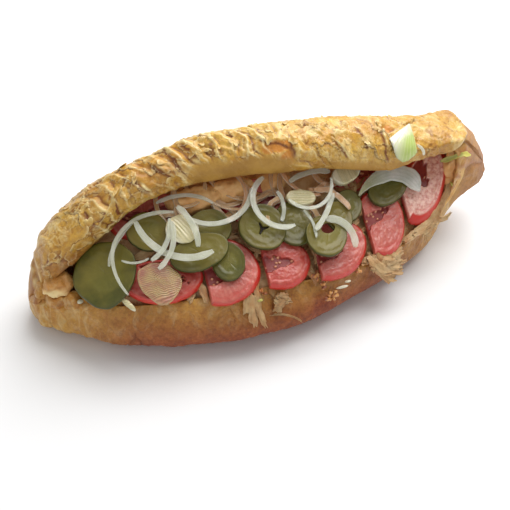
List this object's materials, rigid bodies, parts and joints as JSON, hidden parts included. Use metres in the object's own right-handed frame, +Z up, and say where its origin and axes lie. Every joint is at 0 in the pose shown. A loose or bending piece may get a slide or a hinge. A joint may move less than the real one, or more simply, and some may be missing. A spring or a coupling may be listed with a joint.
{
  "type": "chicken doner sandwich",
  "caption": "Half loaf slit along the front and filled with shaved chicken, tomato slices, pickle slices and onion strips, resting on its flat crust.",
  "frame": {"origin": "centre of the bounding box's underside, on the surface the sandwich rests on", "axes": "X along the loaf, its open corner at +X; -Y is the open front; Z up"},
  "size_m": [0.3273, 0.1084, 0.1201],
  "materials": {
    "baked_crust": "satin",
    "shaved_chicken": "satin",
    "tomato_flesh": "wet",
    "pickled_cucumber": "wet",
    "onion": "moist",
    "toasted_crumb": "matte",
    "lettuce": "satin"
  },
  "bodies": {
    "root": {"bread": "baked_crust", "chicken_bed": "shaved_chicken", "chicken_clump_1": "shaved_chicken", "chicken_clump_2": "shaved_chicken", "chicken_clump_3": "shaved_chicken", "tomato_1": "tomato_flesh", "tomato_2": "tomato_flesh", "tomato_3": "tomato_flesh", "tomato_4": "tomato_flesh", "tomato_5": "tomato_flesh", "tomato_6": "tomato_flesh", "tomato_7": "tomato_flesh", "tomato_8": "tomato_flesh", "tomato_9": "tomato_flesh", "pickle_1": "pickled_cucumber", "pickle_2": "pickled_cucumber", "pickle_3": "pickled_cucumber", "pickle_4": "pickled_cucumber", "pickle_5": "pickled_cucumber", "pickle_6": "pickled_cucumber", "pickle_7": "pickled_cucumber", "pickle_8": "pickled_cucumber", "pickle_9": "pickled_cucumber", "pickle_10": "pickled_cucumber", "pickle_11": "pickled_cucumber", "onion_strip_1": "onion", "onion_strip_2": "onion", "onion_strip_3": "onion", "onion_strip_4": "onion", "onion_strip_5": "onion", "onion_strip_6": "onion", "onion_strip_7": "onion", "onion_strip_8": "onion", "onion_strip_9": "onion", "onion_strip_10": "onion", "onion_strip_11": "onion", "onion_strip_12": "onion", "onion_strip_13": "onion", "onion_strip_14": "onion", "onion_strip_15": "onion", "onion_strip_16": "onion", "onion_cap": "onion", "onion_chunk": "onion", "onion_heart": "onion", "onion_root": "onion", "onion_disc": "onion", "onion_layer": "onion", "onion_on_flap": "onion", "toasted_crumb": "toasted_crumb", "lettuce_strip": "lettuce"}
  },
  "joints": []
}
